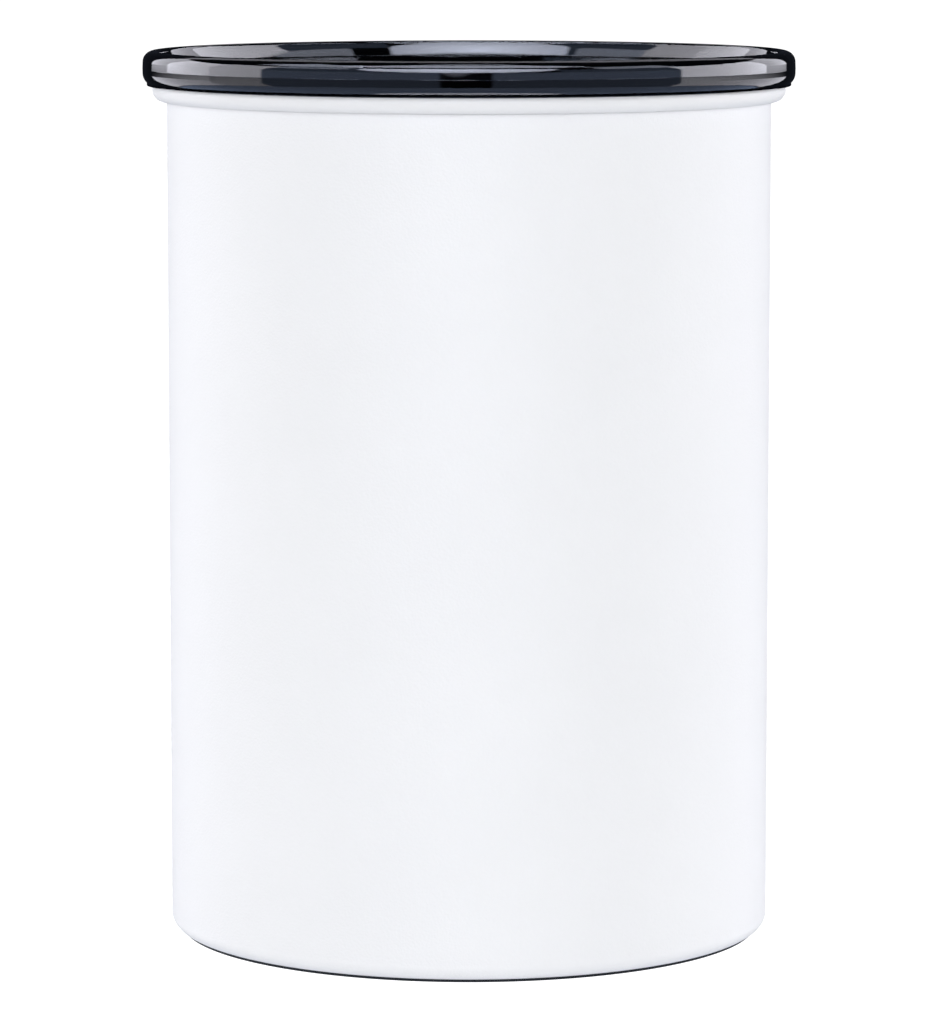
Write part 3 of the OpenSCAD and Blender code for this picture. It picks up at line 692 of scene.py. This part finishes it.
washer = turned("seal_washer", rounded([
    (WASHER_IN, 6, 0), (WASHER_IN, HEAD_LOW, 0.1), (PLUNGER_HEAD_R, HEAD_LOW, 0.3),
    (PLUNGER_HEAD_R, WASHER_LOW, 0.5), (WASHER_IN, WASHER_LOW, 0.1), (WASHER_IN, 6, 0)])[:-1], 96)
placed(washer, z=LIFT)

cap = turned("vent_cap", rounded([
    (PIN_HOLE_R, 27, 0), (PIN_HOLE_R, TURRET_UNDER, 0.1), (TURRET_IN, TURRET_UNDER, 0.2),
    (TURRET_IN, CAP_UNDER, 0.3), (HUB_IN_R, CAP_UNDER, 0.3), (HUB_IN_R, CAP_STEP, 0.1),
    (CAP_IN_R, CAP_STEP, 0.1), (CAP_IN_R, CAP_LOW, 0.2), (CAP_R, CAP_LOW, 0.3), (CAP_R, CAP_TOP, 0.9),
    (TURRET_R, CAP_TOP, 0.6), (TURRET_R, TURRET_TOP, 0.5), (PIN_HOLE_R, TURRET_TOP, 0.25),
    (PIN_HOLE_R, 27, 0)])[:-1], 128)
vent = bar("vent", (VENT_IN, -VENT_W / 2, CAP_UNDER - 2), (VENT_OUT, VENT_W / 2, CAP_TOP + 2), 0.4)
combine(cap, ring_of(vent, VENT_COUNT), "DIFFERENCE")
finish_mesh(placed(cap, z=LIFT))

# %% [markdown]
# ## The spring
# A helix of vertices becomes a curve, the curve gets the thickness of the wire, and that becomes a mesh. The
# turns at both ends lie flat, as those of a real spring do, so that it stands square.

# %% Spring
COIL_R, WIRE_R, SPRING_LOW, SPRING_TOP = 3.0, 0.35, 19.4, 26.4
COIL_TURNS, END_TURNS, STEPS_PER_TURN = 5.0, 1.0, 24
COIL_RISE = SPRING_TOP - SPRING_LOW - 2 * WIRE_R * (1 + 2 * END_TURNS)


def coil_height(turn):
    """Height of the wire's middle after so many turns: flat, rising, flat."""
    share = min(max((turn - END_TURNS) / COIL_TURNS, 0), 1)
    flat_rise = 2 * WIRE_R * (min(turn, END_TURNS) + max(turn - END_TURNS - COIL_TURNS, 0))
    return SPRING_LOW + WIRE_R + flat_rise + share * COIL_RISE


helix = []
for i in range(round((COIL_TURNS + 2 * END_TURNS) * STEPS_PER_TURN) + 1):
    turn = i / STEPS_PER_TURN
    angle = turn * math.tau
    helix.append(Vector((COIL_R * math.cos(angle), COIL_R * math.sin(angle), coil_height(turn))) * MM)
spring = drawn("coil_spring", helix)
bpy.ops.object.mode_set(mode="OBJECT")
bpy.ops.object.convert(target="CURVE")
spring.data.bevel_depth = WIRE_R * MM
spring.data.bevel_resolution = 3
spring.data.use_fill_caps = True
bpy.ops.object.convert(target="MESH")
finish_mesh(placed(spring, z=LIFT), 60)

# %% [markdown]
# ## The handle and its shaft
# The bail is a U of grey plastic, five millimetres thick, with all its long edges well rounded for the
# fingers. Its outline is drawn as a line of vertices, filled, pushed up to its thickness, and bevelled along
# its rims. Round eyes at both ends hold the steel shaft, which has flats so that it turns with the handle.

# %% Handle
BAIL_LOW, BAIL_TOP, BAIL_EDGE_R = 12.0, 17.0, 1.7
BAIL_X, BAIL_IN_X, OUT_CORNER_R, IN_CORNER_R = 21.1, 17.2, 11.95, 8.05
OUT_CORNER_Y, IN_CORNER_Y, CORNER_X, CORNER_STEPS = -33, -28, 9.15, 16
EYE_R, EYE_IN_X, EYE_OUT_X, EYE_HOLE_END, EYE_PLAY = 4.1, 17.15, 21.15, 20.2, 0.05
ARM_END_Y = 1.1
SHAFT_END, FLAT_DEPTH = 20.15, 0.5

bail_outline = (
    [(BAIL_IN_X, ARM_END_Y), (BAIL_X, ARM_END_Y)]
    + arc(CORNER_X, OUT_CORNER_Y, OUT_CORNER_R, 0, -90, CORNER_STEPS)
    + arc(-CORNER_X, OUT_CORNER_Y, OUT_CORNER_R, 270, 180, CORNER_STEPS)
    + [(-BAIL_X, ARM_END_Y), (-BAIL_IN_X, ARM_END_Y)]
    + arc(-CORNER_X, IN_CORNER_Y, IN_CORNER_R, 180, 270, CORNER_STEPS)
    + arc(CORNER_X, IN_CORNER_Y, IN_CORNER_R, -90, 0, CORNER_STEPS))
bail_line = [Vector((x * MM, y * MM, BAIL_LOW * MM)) for x, y in bail_outline + bail_outline[:1]]
bail = drawn("bail_handle", bail_line)
bpy.ops.mesh.select_all(action="SELECT")
bpy.ops.mesh.remove_doubles(threshold=MERGE_MM * MM)
bpy.ops.mesh.edge_face_add()
bpy.ops.mesh.extrude_region_move(TRANSFORM_OT_translate={"value": (0, 0, (BAIL_TOP - BAIL_LOW) * MM)})
bpy.ops.mesh.select_all(action="SELECT")
bpy.ops.mesh.normals_make_consistent(inside=False)
bpy.ops.object.mode_set(mode="OBJECT")
LEVEL_MM = 0.1
for edge in bail.data.edges:
    first, second = (bail.data.vertices[i].co.z for i in edge.vertices)
    edge.select = abs(first - second) < LEVEL_MM * MM
for face in bail.data.polygons:
    face.select = False
bpy.ops.object.mode_set(mode="EDIT")
bpy.ops.mesh.select_mode(type="EDGE")
bpy.ops.mesh.bevel(offset=BAIL_EDGE_R * MM, segments=6, affect="EDGES")
bpy.ops.mesh.select_mode(type="VERT")
bpy.ops.object.mode_set(mode="OBJECT")
for side in (-1, 1):
    eye = peg("eye", EYE_R, 0, EYE_OUT_X - EYE_IN_X, 0.5, foot=0, steps=64)
    placed(eye, turn=side * 90, axis="Y")
    combine(bail, placed(eye, x=side * EYE_IN_X, z=AXIS_Z), "UNION")
combine(bail, rod_x("eye_hole", SHAFT_R + EYE_PLAY, EYE_HOLE_END, AXIS_Z), "DIFFERENCE")
finish_mesh(placed(bail, z=LIFT))

# %% Shaft
shaft = rod_x("pivot_shaft", SHAFT_R, SHAFT_END, AXIS_Z, 0.3)
flat_z = AXIS_Z + SHAFT_R - FLAT_DEPTH
for low_x, high_x in ((-SHAFT_END - 1, -HUB_R), (-HUB_IN_R, HUB_IN_R), (HUB_R, SHAFT_END + 1)):
    flat = bar("flat", (low_x, -SHAFT_R - 1, flat_z), (high_x, SHAFT_R + 1, AXIS_Z + 5))
    combine(shaft, flat, "DIFFERENCE")
finish_mesh(placed(shaft, z=LIFT))

# %% [markdown]
# ## What moves inside
# The valve and the handle have bodies of their own, and the rest of the inner lid slides as one. The spring's
# top is held under the cap's turret, and the valve presses it together from below.

# %% Ride and replace the pieces of the inner lid
for piece, body, node, slot in (
        (dish, "inner_lid", "inner_lid_plate", "grey_plastic"),
        (wiper, "inner_lid", "wiper_gasket", "silicone"),
        (ring, "inner_lid", "gasket_retainer", "grey_plastic"),
        (screws, "inner_lid", "retainer_screws", "bare_steel"),
        (cap, "inner_lid", "valve_cap", "grey_plastic"),
        (spring, "inner_lid", "valve_spring", "bare_steel"),
        (plunger, "valve", "valve_stem", "white_plastic"),
        (washer, "valve", "valve_seal", "silicone"),
        (bail, "handle", "lift_handle", "grey_plastic"),
        (shaft, "handle", "hinge_shaft", "bare_steel")):
    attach(piece, body)
    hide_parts(node)
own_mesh(spring)

# %% [markdown]
# ## White powder coat
# Polyester powder, sprayed on dry and melted in an oven. It gives a satin white with a faint orange peel and
# a fine grain that only shows where light grazes it.

# %% White powder coat
GRAIN_MM = 0.45
PEEL_MM = 2.5
CLOUD_MM = 100 / 3
powder, tree = new_material("white_powder_coat")
place = add(tree, "ShaderNodeTexCoord").outputs["Object"]
grain = add(tree, "ShaderNodeTexNoise", {"Vector": place, "Scale": 1 / (GRAIN_MM * MM), "Detail": 2.0})
peel = add(tree, "ShaderNodeTexNoise", {"Vector": place, "Scale": 1 / (PEEL_MM * MM), "Detail": 1.0})
cloud = add(tree, "ShaderNodeTexNoise", {"Vector": place, "Scale": 1 / (CLOUD_MM * MM), "Detail": 3.0})
tint = add(tree, "ShaderNodeMix", {
    "Factor": cloud.outputs["Fac"], 6: linear("F1F2F6"), 7: linear("F6F7FB")}, data_type="RGBA")
gloss = add(tree, "ShaderNodeMapRange", {"Value": grain.outputs["Fac"], "To Min": 0.42, "To Max": 0.56})
peel_bump = add(tree, "ShaderNodeBump", {
    "Height": peel.outputs["Fac"], "Distance": 0.03 * MM, "Strength": 0.5})
grain_bump = add(tree, "ShaderNodeBump", {
    "Height": grain.outputs["Fac"], "Distance": 0.08 * MM, "Strength": 0.8,
    "Normal": peel_bump.outputs["Normal"]})
coat = add(tree, "ShaderNodeBsdfPrincipled", {
    "Base Color": tint.outputs[2], "Roughness": gloss.outputs[0], "IOR": 1.5,
    "Normal": grain_bump.outputs["Normal"]})
add(tree, "ShaderNodeOutputMaterial", {"Surface": coat.outputs[0]})
can.data.materials.append(powder)
print(powder.name, "nodes:", len(tree.nodes))

# %% [markdown]
# ## Painted shadow under the can
# The ring under the base is painted shade, a near-black stand-in for the contact shadow. Its skin is dull,
# with faint greyer clouds at random and hardly any gloss.

# %% Painted shadow ring: near-black and matt
SHADOW_MOTTLE_MM = 0.6
shadow_black, tree = new_material("painted_shadow_black")
place = add(tree, "ShaderNodeTexCoord").outputs["Object"]
shadow_mottle = add(tree, "ShaderNodeTexNoise", {"Vector": place, "Scale": 1 / (SHADOW_MOTTLE_MM * MM), "Detail": 3.0})
shade = add(tree, "ShaderNodeMix", {
    "Factor": shadow_mottle.outputs["Fac"], 6: linear("0D0F13"), 7: linear("1A1D22")}, data_type="RGBA")
matt_face = add(tree, "ShaderNodeBsdfPrincipled", {
    "Base Color": shade.outputs[2], "Roughness": 0.8, "IOR": 1.52, "Specular IOR Level": 0.3})
add(tree, "ShaderNodeOutputMaterial", {"Surface": matt_face.outputs[0]})
# The ring gets the near-black of the painted contact shadow.
painted_shadow_ring.data.materials.append(shadow_black)
print(shadow_black.name, "nodes:", len(tree.nodes))

# %% [markdown]
# ## Smoked clear plastic
# A clear polymer of the polycarbonate kind with grey dye, injection moulded in a polished tool. The dye is
# in the depth of the material, so thin places are paler than thick ones: the surface itself is clear and
# the colour is a volume that absorbs light.

# %% Smoked clear plastic
smoke, tree = new_material("smoked_polycarbonate")
clear = add(tree, "ShaderNodeBsdfPrincipled", {
    "Base Color": (1, 1, 1, 1), "Roughness": 0.015, "IOR": 1.56, "Transmission Weight": 1.0})
dye = add(tree, "ShaderNodeVolumeAbsorption", {"Color": (0.06, 0.18, 0.30, 1), "Density": 3500.0})
add(tree, "ShaderNodeOutputMaterial", {"Surface": clear.outputs[0], "Volume": dye.outputs[0]})
lid.data.materials.append(smoke)
print(smoke.name, "nodes:", len(tree.nodes))

# %% [markdown]
# ## Bare stainless steel
# The inside of the can was ironed on a mandrel and has fine lines round it. A long way round and a short way
# up is all that such lines are: noise that is stretched round the axis. It is read at the direction from the
# axis and at the height, so it closes on itself. The lines are drawn 0.4 mm apart, coarser than they are, so
# that they show. The screws, the spring and the shaft are drawn wire with a finer, brighter surface.

# %% Ironed stainless steel, inside the can
LINE_MM = 0.4
ironed, tree = new_material("ironed_stainless_steel")
place = add(tree, "ShaderNodeTexCoord").outputs["Object"]
parts = add(tree, "ShaderNodeSeparateXYZ", {0: place})
flat_place = add(tree, "ShaderNodeVectorMath", {0: place, 1: (1, 1, 0)}, operation="MULTIPLY")
away = add(tree, "ShaderNodeVectorMath", {0: flat_place.outputs[0]}, operation="LENGTH")
round_it = add(tree, "ShaderNodeVectorMath", {0: flat_place.outputs[0]}, operation="NORMALIZE")
up_and_out = add(tree, "ShaderNodeMath", {0: parts.outputs["Z"], 1: away.outputs["Value"]}, operation="ADD")
fine = add(tree, "ShaderNodeMath", {0: up_and_out.outputs[0], 1: 1 / (LINE_MM * MM)}, operation="MULTIPLY")
fine_part = add(tree, "ShaderNodeCombineXYZ", {"Z": fine.outputs[0]})
line_place = add(tree, "ShaderNodeVectorMath", {
    0: round_it.outputs[0], 1: fine_part.outputs[0]}, operation="ADD")
lines = add(tree, "ShaderNodeTexNoise", {"Vector": line_place.outputs[0], "Scale": 1.0, "Detail": 3.0})
shade = add(tree, "ShaderNodeMix", {
    "Factor": lines.outputs["Fac"], 6: linear("CFCFCD"), 7: linear("E0E0DE")}, data_type="RGBA")
gloss = add(tree, "ShaderNodeMapRange", {"Value": lines.outputs["Fac"], "To Min": 0.26, "To Max": 0.42})
line_bump = add(tree, "ShaderNodeBump", {
    "Height": lines.outputs["Fac"], "Distance": 0.02 * MM, "Strength": 0.6})
steel = add(tree, "ShaderNodeBsdfPrincipled", {
    "Base Color": shade.outputs[2], "Metallic": 1.0, "Roughness": gloss.outputs[0],
    "Normal": line_bump.outputs["Normal"]})
add(tree, "ShaderNodeOutputMaterial", {"Surface": steel.outputs[0]})
can.data.materials.append(ironed)
print(ironed.name, "nodes:", len(tree.nodes))

# %% The can's inner faces, found by where they are and where they look
BASE_ZONE_H, WALL_ZONE_R, HALF_SHEET = 60, 55, 0.35
LOOKS_UP, LOOKS_IN = 0.1, -0.3
bare = 0
for face in can.data.polygons:
    centre, normal = face.center / MM, face.normal
    radius = math.hypot(centre.x, centre.y)
    outwards = (normal.x * centre.x + normal.y * centre.y) / max(radius, 0.001)
    inner_base = normal.z > LOOKS_UP and centre.z < BASE_ZONE_H and radius < CAN_R - SHEET + HALF_SHEET
    inner_wall = outwards < LOOKS_IN and radius > WALL_ZONE_R and centre.z < shoulder_z
    if inner_base or inner_wall:
        face.material_index = 1
        bare += 1
print("faces of bare steel:", bare, "of", len(can.data.polygons))

# %% Drawn steel wire
SCUFF_MM = 0.5
wire_steel, tree = new_material("drawn_steel_wire")
place = add(tree, "ShaderNodeTexCoord").outputs["Object"]
scuffs = add(tree, "ShaderNodeTexNoise", {"Vector": place, "Scale": 1 / (SCUFF_MM * MM), "Detail": 4.0})
shade = add(tree, "ShaderNodeMix", {
    "Factor": scuffs.outputs["Fac"], 6: linear("C4C4C3"), 7: linear("DCDCDA")}, data_type="RGBA")
gloss = add(tree, "ShaderNodeMapRange", {"Value": scuffs.outputs["Fac"], "To Min": 0.18, "To Max": 0.34})
wire_face = add(tree, "ShaderNodeBsdfPrincipled", {
    "Base Color": shade.outputs[2], "Metallic": 1.0, "Roughness": gloss.outputs[0]})
add(tree, "ShaderNodeOutputMaterial", {"Surface": wire_face.outputs[0]})
for piece in (screws, spring, shaft):
    piece.data.materials.append(wire_steel)
print(wire_steel.name, "nodes:", len(tree.nodes))

# %% [markdown]
# ## Plastics and silicone of the inner lid
# The grey pieces are moulded polypropylene. Their tool was spark eroded, which leaves a fine matt grain that
# hides scratches: it is drawn 0.3 mm wide, about twice its size, so that it shows. The valve's moving pieces
# are acetal, which is naturally white, slippery and a little translucent. The wiper and the washer are cast
# silicone with a soft satin skin.

# %% Spark-textured grey polypropylene
SPARK_MM = 0.3
FLOW_MM = 50 / 3
spark_grey, tree = new_material("spark_textured_grey_polypropylene")
place = add(tree, "ShaderNodeTexCoord").outputs["Object"]
spark = add(tree, "ShaderNodeTexVoronoi", {"Vector": place, "Scale": 1 / (SPARK_MM * MM)})
flow = add(tree, "ShaderNodeTexNoise", {"Vector": place, "Scale": 1 / (FLOW_MM * MM), "Detail": 3.0})
shade = add(tree, "ShaderNodeMix", {
    "Factor": flow.outputs["Fac"], 6: linear("5C5F66"), 7: linear("676A71")}, data_type="RGBA")
gloss = add(tree, "ShaderNodeMapRange", {"Value": flow.outputs["Fac"], "To Min": 0.48, "To Max": 0.62})
spark_bump = add(tree, "ShaderNodeBump", {
    "Height": spark.outputs["Distance"], "Distance": 0.06 * MM, "Strength": 0.5})
moulded = add(tree, "ShaderNodeBsdfPrincipled", {
    "Base Color": shade.outputs[2], "Roughness": gloss.outputs[0], "IOR": 1.49,
    "Normal": spark_bump.outputs["Normal"]})
add(tree, "ShaderNodeOutputMaterial", {"Surface": moulded.outputs[0]})
for piece in (dish, ring, cap, bail):
    piece.data.materials.append(spark_grey)
print(spark_grey.name, "nodes:", len(tree.nodes))

# %% Cast silicone
BLOOM_MM = 4.0
cast, tree = new_material("cast_silicone")
place = add(tree, "ShaderNodeTexCoord").outputs["Object"]
bloom = add(tree, "ShaderNodeTexNoise", {"Vector": place, "Scale": 1 / (BLOOM_MM * MM), "Detail": 4.0})
shade = add(tree, "ShaderNodeMix", {
    "Factor": bloom.outputs["Fac"], 6: linear("93969A"), 7: linear("A1A4A7")}, data_type="RGBA")
gloss = add(tree, "ShaderNodeMapRange", {"Value": bloom.outputs["Fac"], "To Min": 0.42, "To Max": 0.58})
soft_face = add(tree, "ShaderNodeBsdfPrincipled", {
    "Base Color": shade.outputs[2], "Roughness": gloss.outputs[0], "IOR": 1.41,
    "Subsurface Weight": 0.15, "Subsurface Scale": 0.001})
add(tree, "ShaderNodeOutputMaterial", {"Surface": soft_face.outputs[0]})
for piece in (wiper, washer):
    piece.data.materials.append(cast)
print(cast.name, "nodes:", len(tree.nodes))

# %% Natural acetal, also for the cams, whose CAD shape stays
MELT_MM = 3.0
acetal, tree = new_material("natural_acetal")
place = add(tree, "ShaderNodeTexCoord").outputs["Object"]
melt = add(tree, "ShaderNodeTexNoise", {"Vector": place, "Scale": 1 / (MELT_MM * MM), "Detail": 2.0})
shade = add(tree, "ShaderNodeMix", {
    "Factor": melt.outputs["Fac"], 6: linear("EBEBE6"), 7: linear("F1F1ED")}, data_type="RGBA")
gloss = add(tree, "ShaderNodeMapRange", {"Value": melt.outputs["Fac"], "To Min": 0.3, "To Max": 0.4})
smooth_face = add(tree, "ShaderNodeBsdfPrincipled", {
    "Base Color": shade.outputs[2], "Roughness": gloss.outputs[0], "IOR": 1.48,
    "Subsurface Weight": 0.2, "Subsurface Scale": 0.001})
add(tree, "ShaderNodeOutputMaterial", {"Surface": smooth_face.outputs[0]})
plunger.data.materials.append(acetal)
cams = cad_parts["valve_cams"]
for slot_of_cams in cams.material_slots:
    slot_of_cams.material = acetal
print("the cams keep their CAD shape:", len(cams.material_slots), "material slot")
